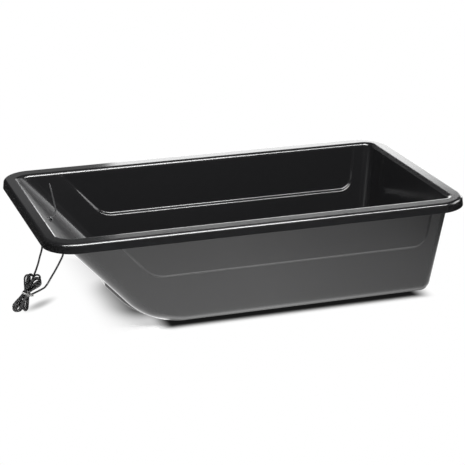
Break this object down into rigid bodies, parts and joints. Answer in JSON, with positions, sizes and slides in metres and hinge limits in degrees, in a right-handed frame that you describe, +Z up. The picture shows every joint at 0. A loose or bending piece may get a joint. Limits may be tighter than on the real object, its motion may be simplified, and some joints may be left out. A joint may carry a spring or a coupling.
{
  "type": "ice fishing sled",
  "caption": "Ice fishing sled: black one-piece plastic tub with a sloping bow, rolled rim, stepped side panels and moulded runners, and a hanked tow rope tied to the bow.",
  "frame": {"origin": "on the ground under the middle of the tub, the rope left out", "axes": "+X from the bow to the stern, +Z up, the picture's near side at -Y"},
  "size_m": [1.0271, 0.57, 0.2999],
  "materials": {
    "tub_plastic": "satin",
    "tie_plastic": "satin",
    "rope_fibre": "matte",
    "white_tie": "matte"
  },
  "bodies": {
    "root": {"tub": "tub_plastic", "cable_tie": "tie_plastic", "tow_rope_near_strand": "rope_fibre", "tow_rope_far_strand": "rope_fibre", "tow_rope_hank": "rope_fibre", "hank_tie": "white_tie"}
  },
  "joints": []
}
